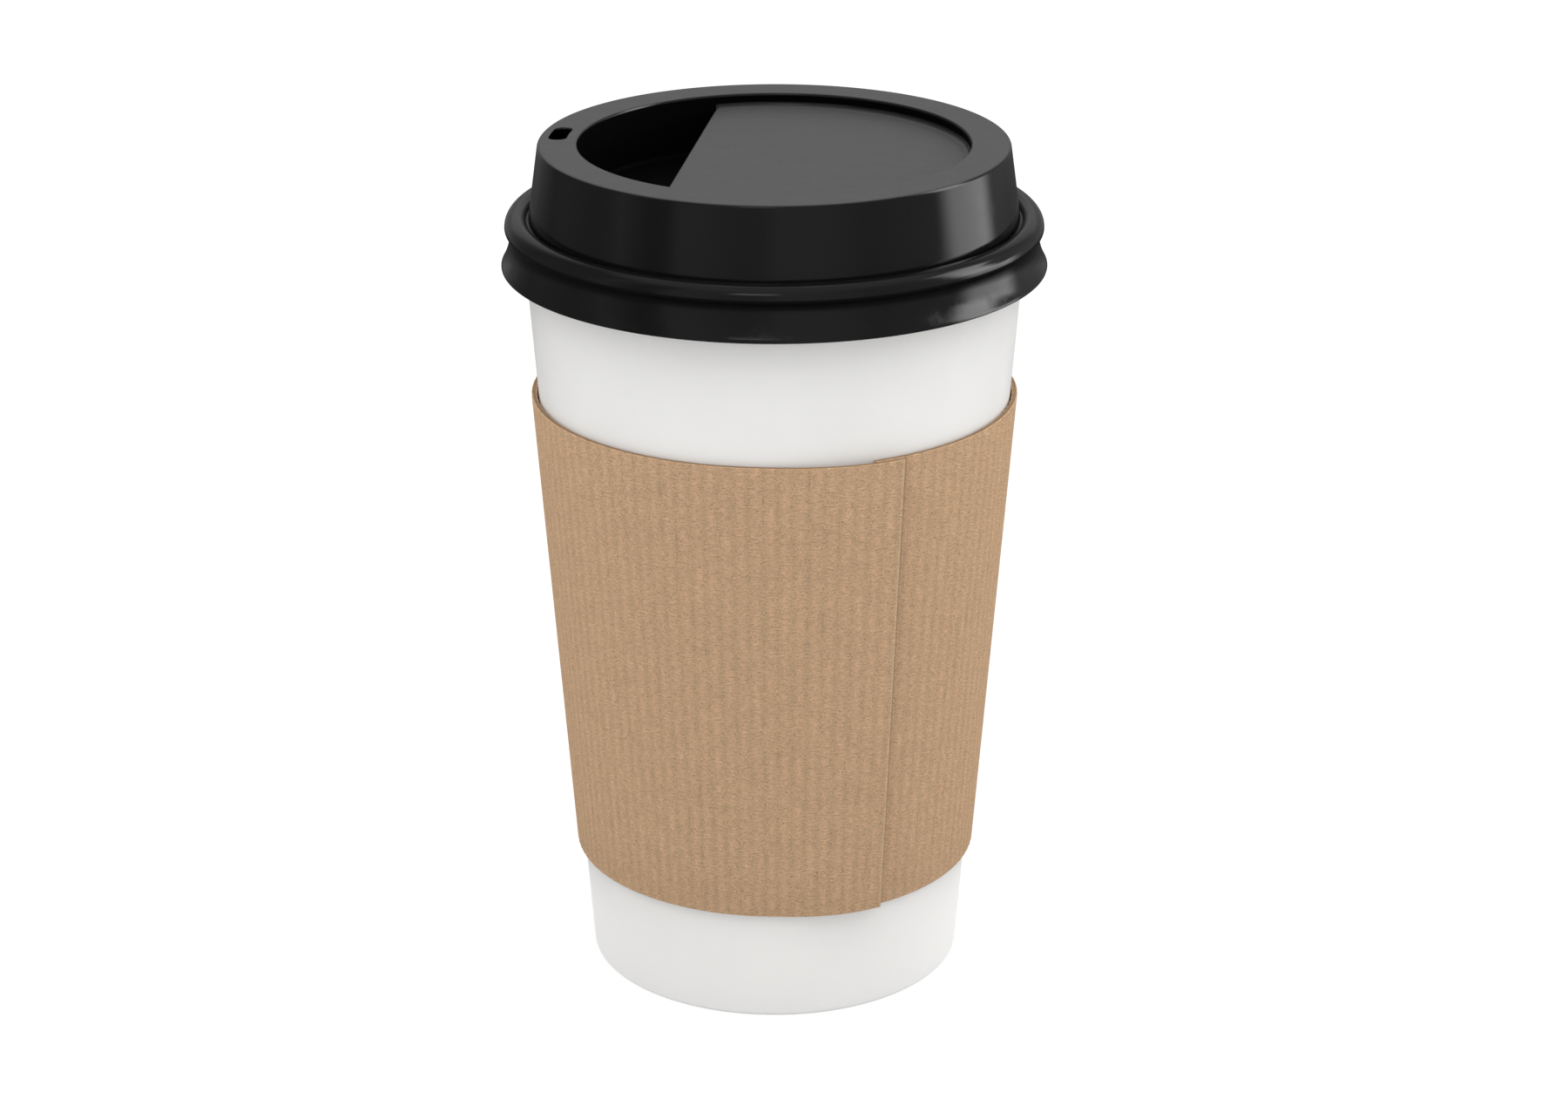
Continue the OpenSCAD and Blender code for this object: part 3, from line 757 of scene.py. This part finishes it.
# Outline of the sip hole for each border point: the border is shrunk onto a rectangle
# along the ring and its corners are drawn in to a radius
def sipOutline(border, grow):
    azimuth = np.arctan2(border[:, 1], -border[:, 0])
    radius = np.hypot(border[:, 0], border[:, 1])
    inner = recessRadius + lid["sipInset"]
    middle = inner + lid["sipWidth"] / 2
    along, across = azimuth * middle, radius - middle
    half = np.array([lid["sipLength"] / 2, lid["sipWidth"] / 2])
    scaled = np.stack([along / np.abs(along).max() * half[0],
                       np.where(across < 0, across / -across.min(), across / across.max())
                       * half[1]], 1)
    core = np.clip(scaled, -(half - lid["sipRound"]), half - lid["sipRound"])
    away = scaled - core
    away /= np.maximum(np.linalg.norm(away, axis=1), 1e-9)[:, None]
    outline = core + away * (lid["sipRound"] + grow)
    turn, reach = outline[:, 0] / middle, outline[:, 1] + middle
    return np.stack([-reach * np.cos(turn), reach * np.sin(turn)], 1)


# Outline of the vent for each border point: the same radius along the same direction
def ventOutline(border, grow):
    angle = math.radians(lid["ventAzimuth"])
    centre = (recessRadius - lid["ventInset"]) * np.array([math.cos(angle), math.sin(angle)])
    away = border[:, :2] - centre
    away /= np.linalg.norm(away, axis=1)[:, None]
    return centre + away * (lid["ventRadius"] + grow)


# The hole through the sheet: its fill above and below, and its wall with rounded edges
def holePatches(top, under, block, outlineOf, edge, rings):
    border = borderOf(top, block)
    above = punched(top, block, outlineOf(border, edge), rings)
    below = punched(under, block, outlineOf(border, edge), rings)
    angle = np.radians(np.linspace(0, 90, 5))
    spread = np.r_[edge * (1 - np.sin(angle)), edge * (1 - np.sin(angle))[::-1]]
    high, low = top[block[0], block[2], 2], under[block[0], block[2], 2]
    level = np.r_[high - edge * (1 - np.cos(angle)), (low + edge * (1 - np.cos(angle)))[::-1]]
    wall = np.stack([np.column_stack([outlineOf(border, s), np.full(len(border), z)])
                     for s, z in zip(spread, level)])
    return [(above, True, None), (below, True, None), (wall, True, None)]


# The grid turned about Z: x cos t - y sin t, x sin t + y cos t
def spun(grid, degrees):
    turn = math.radians(degrees)
    x, y = grid[..., 0], grid[..., 1]
    return np.stack([x * math.cos(turn) - y * math.sin(turn),
                     x * math.sin(turn) + y * math.cos(turn), grid[..., 2]], -1)


# Gives the painted recess shade to the faces of the recess that lie lower than the stage and to
# the steep ones above the well and above the fillet at the stage's foot
def markRecessShade(mesh):
    mesh.materials.append(sheetRecessShade)
    count = len(mesh.polygons)
    centre, normal = np.zeros(3 * count, np.float32), np.zeros(3 * count, np.float32)
    mesh.polygons.foreach_get("center", centre)
    mesh.polygons.foreach_get("normal", normal)
    centre, normal = centre.reshape(-1, 3) / mm, normal.reshape(-1, 3)
    reach = np.hypot(centre[:, 0], centre[:, 1])
    inside = (reach < recessRadius) & (centre[:, 2] < lidTop - lid["rimRound"])
    overWell = spun(centre, -lid["pressedTurn"])[:, 0] < 0.1 - lid["wellOffset"]
    steep = normal[:, 2] < 0.45
    aboveStage = centre[:, 2] - lidTop + lid["stageDepth"]
    under, over = aboveStage < -plastic["deepUnder"], aboveStage > plastic["deepOver"]
    deep = inside & (under | steep & (overWell | over))
    mesh.polygons.foreach_set("material_index", deep.astype(np.int32))


# The side is its outer face, the same a sheet further in, and a shallow round at the trimmed
# edge, turned about Z; the ring and the recess have a face above and one a sheet below,
# with the sip hole and the vent cut through both
def makeLid():
    outerPath = lidPath()
    innerPath = beside(outerPath, -lid["sheet"])
    innerPath[0] = outerPath[0] - (0, lid["sheet"])  # it meets the ring's underside
    across = innerPath[-1] - outerPath[-1]
    middle = (outerPath[-1] + innerPath[-1]) / 2
    away = np.array([-across[1], across[0]])
    half = np.radians(np.linspace(0, 180, 9))[1:-1]
    edge = middle + np.outer(-np.cos(half), across / 2) + np.outer(np.sin(half), away * 0.16)
    section = np.vstack([outerPath, edge, innerPath[::-1]])

    recessTop, floorStart, radius = recessGrid(lidAzimuth, 0)
    recessUnder, _, _ = recessGrid(lidAzimuth, lid["sheet"])
    ringStart = recessTop[-1, 0, 0]
    rows = np.r_[ringStart, ringStart + 0.08, np.linspace(ringStart + 0.5, edgeRadius - 0.5, 9),
                 edgeRadius - 0.08, edgeRadius]
    ringTop = turned(np.column_stack([rows, np.full(len(rows), lidTop)]), lidAzimuth)
    ringUnder = turned(np.column_stack([rows, np.full(len(rows), lidTop - lid["sheet"])]),
                       lidAzimuth)
    sipBlock = (1, len(rows) - 2, int(np.searchsorted(lidDegrees, sipStart)),
                int(np.searchsorted(lidDegrees, sipEnd)))
    column = int(np.searchsorted(lidDegrees, lid["ventAzimuth"] - 0.01))
    ventRadius = recessRadius - lid["ventInset"]
    below = np.where(radius[floorStart:, column] < ventRadius - 0.8)[0][-1] + floorStart
    above = np.where(radius[floorStart:, column] > ventRadius + 0.8)[0][0] + floorStart
    ventBlock = (int(below), int(above), column - 3, column + 3)
    patches = [(turned(section, lidAzimuth), True, None),
               (ringTop, True, [sipBlock]), (ringUnder, True, [sipBlock]),
               (recessTop, True, [ventBlock]), (recessUnder, True, [ventBlock])]
    patches += holePatches(ringTop, ringUnder, sipBlock, sipOutline, lid["sipEdge"], 4)
    patches += holePatches(recessTop, recessUnder, ventBlock, ventOutline,
                           lid["ventEdge"], 3)
    patches = [(spun(grid, lid["pressedTurn"]), ring, skip) for grid, ring, skip in patches]
    piece = weldedPiece("lidShell", patches, sheetBlack, "lid", 40)
    markRecessShade(piece.data)
    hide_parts("lid")


makeLid()
print("pieces made")


# The photograph's camera: place in metres, turn from the front in degrees, pitch in radians
photo = {
    "lens": 84.6,
    "place": (0.075115, -0.598305, 0.3072),
    "turn": 7.0,
    "pitch": 0.371,
}
viewTurn = math.radians(photo["turn"])

# The stage's sizes are in metres
studio = {
    "floorReach": 1.25,
    "floorColour": (0.86, 0.86, 0.86, 1),
    "floorBounce": (0.50, 0.50, 0.50, 1),
    "floorWhite": 0.86,
    "roomRadius": 1.75,
    "roomMiddle": 0.14,
    "domeLight": 0.36,
    "frontLight": 1.7,
    "stripLight": 1.4,
    "backdropLight": 0.35,
    "cardDark": 0.03,
    "boxLow": 1.9,
    "ceilingSize": 2.4,
    "ceilingHeight": 1.35,
    "ceilingLight": 1.6,
    "sideTurn": 112,
    "sideReach": 1.2,
    "sideHeight": 0.3,
    "sideSize": 0.9,
    "sideLight": 1.36,
    "worldLight": 1.0,
}

# Light that comes from round the room at the lid's height: turn from the camera's side
# towards the right, in degrees, and brightness
roomLight = [(-180, 0.20), (-150, 0.22), (-140, 0.15), (-125, 0.08), (-112, 0.12), (-101, 0.13),
             (-90, 0.13), (-80, 0.17), (-75, 0.25), (-68, 0.18), (-58, 0.10), (-50, 0.12),
             (-44, 0.27), (-33, 0.27), (-25, 0.24), (-15, 0.21), (-5, 0.22), (2, 0.30),
             (20, 0.30), (33, 0.26), (43, 0.21), (55, 0.23), (76, 0.25), (90, 0.3), (120, 0.3),
             (140, 0.2), (180, 0.20)]

# Brightness of the tall soft box on the right, by height above the lid in degrees
boxLight = [(-4, studio["boxLow"]), (1, 2.1), (8, 3.8), (20, 3.6), (34, 2.9), (43, 2.4), (49, 0)]


# A flat disc, white to the camera and in mirrors, and duller for the light that it bounces
def makeFloor():
    rings, columns = 12, 96
    ring = np.linspace(0, studio["floorReach"], rings)
    azimuth = np.radians(np.linspace(0, 360, columns + 1)[:-1])
    grid = turned(np.column_stack([ring, np.zeros(rings)]), azimuth)
    mesh = bpy.data.meshes.new("paleFloor")
    mesh.from_pydata(grid.reshape(-1, 3).tolist(), [], gridFaces(rings, columns, True).tolist())
    floor = bpy.data.objects.new("paleFloor", mesh)
    bpy.context.scene.collection.objects.link(floor)
    material, tree, shader = startMaterial("paleFloor")
    path = addNode(tree, "LightPath")
    seen = mathNode(tree, "MAXIMUM", path.outputs["Is Camera Ray"], path.outputs["Is Glossy Ray"])
    seen = mathNode(tree, "MAXIMUM", seen, path.outputs["Is Transmission Ray"])
    tone = mixColour(tree, seen, studio["floorBounce"], studio["floorColour"])
    feed(tree, shader, {"Base Color": tone, "Roughness": 0.9, "Specular IOR Level": 0.0})
    white = addNode(tree, "Emission", {"Color": (1, 1, 1, 1), "Strength": 1.0})
    share = mathNode(tree, "MULTIPLY", seen, studio["floorWhite"])
    mixed = addNode(tree, "MixShader", {0: share, 1: shader.outputs[0], 2: white.outputs[0]})
    tree.links.new(mixed.outputs[0], tree.nodes["Material Output"].inputs[0])
    mesh.materials.append(material)


# A shell round the cup that glows by direction: side light by its turn, a tall soft box on
# the right, a lamp in front, a backdrop behind and a strip above it, and an even dome over
# all. Only what is mirrored sees it.
def makeRoom():
    turn = np.linspace(-180, 180, 181)[:-1]
    rise = np.array([-13, -8, -4, 0, 4, 8, 11, 14, 20, 28, 31, 34, 38, 44, 50, 53, 56, 59, 62, 66,
                     70, 74, 78, 84, 89.9])[:, None]
    angle, up = np.radians(turn) + viewTurn, np.radians(rise)
    radius = studio["roomRadius"]
    grid = np.stack([radius * np.cos(up) * np.sin(angle), -radius * np.cos(up) * np.cos(angle),
                     studio["roomMiddle"] + radius * np.sin(up) + 0 * angle], -1)
    side = sideGlow(turn) + boxShape(turn, rise) * np.interp(rise, *zip(*boxLight))
    glow = side + (studio["domeLight"] - side) * eased((rise - 48) / 12)
    back = np.abs(turn)
    front = within(turn, -22, 6, -2, 6) * within(rise, 32, 4, 42, 4)
    behind = eased((back - 142) / 14) * within(rise, 9, 5, 38, 8)
    strip = eased((back - 148) / 16) * within(rise, 58, 4, 68, 5)
    for light, share in ((studio["frontLight"], front), (studio["backdropLight"], behind),
                         (studio["stripLight"], strip)):
        glow += (light - glow) * share
    stagePiece("roomShell", grid, glow)


# Side light at a turn, straight between the turns of roomLight
def sideGlow(turn):
    return np.interp(turn, *zip(*roomLight))


# The soft box's share of full light, by turn; at half its height it stands further forward
def boxShape(turn, rise):
    middle = within(rise, 3, 6, 27, 8)
    return within(turn, 80 - 4 * middle, 12, 111 - 14 * middle, 12)


# A dark card on the floor round the cup; outwards it takes on the side light of its turn.
# Only what is mirrored sees it.
def makeDarkCard():
    turn = np.linspace(-180, 180, 181)[:-1]
    angle = np.radians(turn) + viewTurn - math.pi / 2
    reach = np.array([0.05, 0.1, 0.2, 0.4, 0.55, 0.7, 0.85, 1.0, 1.3, 1.7])
    grid = turned(np.column_stack([reach, np.full(len(reach), 0.001)]), angle)
    share = eased((reach - 0.4) / 0.6)[:, None]
    bright = sideGlow(turn) + studio["boxLow"] * boxShape(turn, 0)
    glow = studio["cardDark"] * (1 - share) + bright * share
    stagePiece("darkCard", grid, glow)


# Light by the points' own glow; it is no lamp, so nothing aims rays at it
def glowMaterial():
    material, tree, shader = startMaterial("roomGlow")
    material.cycles.emission_sampling = "NONE"
    tree.nodes.remove(shader)
    strength = addNode(tree, "Attribute", attribute_name="glow").outputs["Fac"]
    glowing = addNode(tree, "Emission", {"Color": (1, 1, 1, 1), "Strength": strength})
    tree.links.new(glowing.outputs[0], tree.nodes["Material Output"].inputs[0])
    return material


# A grid of the stage with a glow at each point, seen by mirrored rays alone
def stagePiece(name, grid, glow):
    mesh = bpy.data.meshes.new(name)
    rows, columns = grid.shape[:2]
    mesh.from_pydata(grid.reshape(-1, 3).tolist(), [], gridFaces(rows, columns, True).tolist())
    level = mesh.attributes.new("glow", "FLOAT", "POINT")
    level.data.foreach_set("value", glow.astype(np.float32).ravel())
    mesh.materials.append(glowMaterial())
    piece = bpy.data.objects.new(name, mesh)
    bpy.context.scene.collection.objects.link(piece)
    for sight in ("camera", "diffuse", "transmission", "volume_scatter", "shadow"):
        setattr(piece, "visible_" + sight, False)


# A square lamp with a given brightness: its power is brightness times pi times its area
def addLamp(name, place, target, size, brightness):
    lamp = bpy.data.lights.new(name, "AREA")
    lamp.shape = "SQUARE"
    lamp.size = size
    lamp.energy = brightness * math.pi * size * size
    holder = bpy.data.objects.new(name, lamp)
    bpy.context.scene.collection.objects.link(holder)
    holder.location = place
    holder.rotation_mode = "QUATERNION"
    holder.rotation_quaternion = (Vector(target) - Vector(place)).to_track_quat("-Z", "Y")
    holder.visible_camera = False
    holder.visible_glossy = False


def makeWorld():
    world = bpy.data.worlds.new("paleRoom")
    bpy.context.scene.world = world
    world.use_nodes = True
    feed(world.node_tree, world.node_tree.nodes["Background"],
         {"Color": (1, 1, 1, 1), "Strength": studio["worldLight"]})


makeFloor()
makeRoom()
makeDarkCard()
makeWorld()
addLamp("ceiling", (0, 0, studio["ceilingHeight"]), (0, 0, 0), studio["ceilingSize"],
        studio["ceilingLight"])
sideAngle = viewTurn - math.pi / 2 + math.radians(studio["sideTurn"])
addLamp("side", (studio["sideReach"] * math.cos(sideAngle),
                 studio["sideReach"] * math.sin(sideAngle), studio["sideHeight"]),
        (0, 0, 0.1), studio["sideSize"], studio["sideLight"])
print("stage set")

bpy.context.scene.view_settings.view_transform = "Standard"

camera = bpy.data.objects.new("camera", bpy.data.cameras.new("camera"))
bpy.context.scene.collection.objects.link(camera)
camera.data.sensor_width = 36
camera.data.lens = photo["lens"]
camera.data.clip_start = 0.01
camera.location = photo["place"]
level, drop = math.cos(photo["pitch"]), math.sin(photo["pitch"])
look = Vector((-math.sin(viewTurn) * level, math.cos(viewTurn) * level, -drop))
camera.rotation_mode = "QUATERNION"
camera.rotation_quaternion = look.to_track_quat("-Z", "Y")
bpy.context.scene.camera = camera
